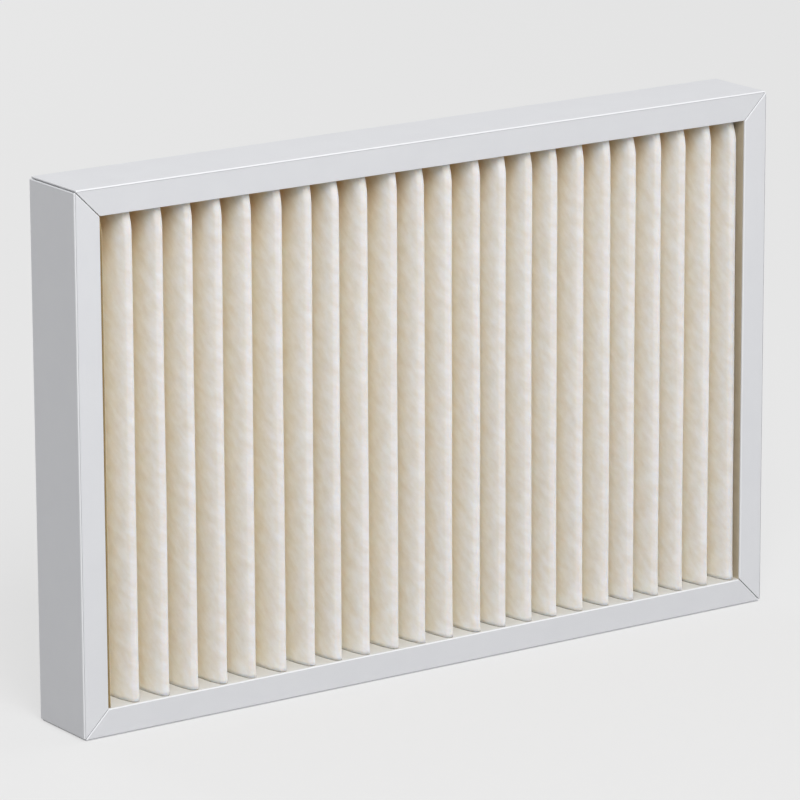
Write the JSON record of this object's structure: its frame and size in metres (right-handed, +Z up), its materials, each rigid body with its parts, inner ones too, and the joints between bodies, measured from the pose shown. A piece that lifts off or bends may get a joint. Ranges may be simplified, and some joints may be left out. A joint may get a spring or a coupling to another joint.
{
  "type": "pleated panel air filter",
  "caption": "Rectangular panel air filter: a deep-pleated non-woven sheet sealed inside a white mitred frame of hollow rails.",
  "frame": {"origin": "middle of the underside of the bottom rail, with the panel standing on its long edge", "axes": "+X along the width (the long side), -Y out of the front face and +Y out of the rear face (the depth, which is the way the air goes), +Z up along the pleats"},
  "size_m": [0.4444, 0.0444, 0.2921],
  "materials": {
    "frame": "white rigid PVC, extruded, satin",
    "key": "natural nylon, moulded",
    "media": "cream non-woven polyester, calendered, matt",
    "sealant": "off-white polyurethane sealant, cast, satin"
  },
  "bodies": {
    "root": {"bottom_rail": "frame", "top_rail": "frame", "left_rail": "frame", "right_rail": "frame", "pleated_media": "media", "bottom_bond": "sealant", "top_bond": "sealant", "left_bond": "sealant", "right_bond": "sealant", "bottom_left_front_key": "key", "bottom_left_rear_key": "key", "bottom_right_front_key": "key", "bottom_right_rear_key": "key", "top_left_front_key": "key", "top_left_rear_key": "key", "top_right_front_key": "key", "top_right_rear_key": "key"}
  },
  "joints": []
}
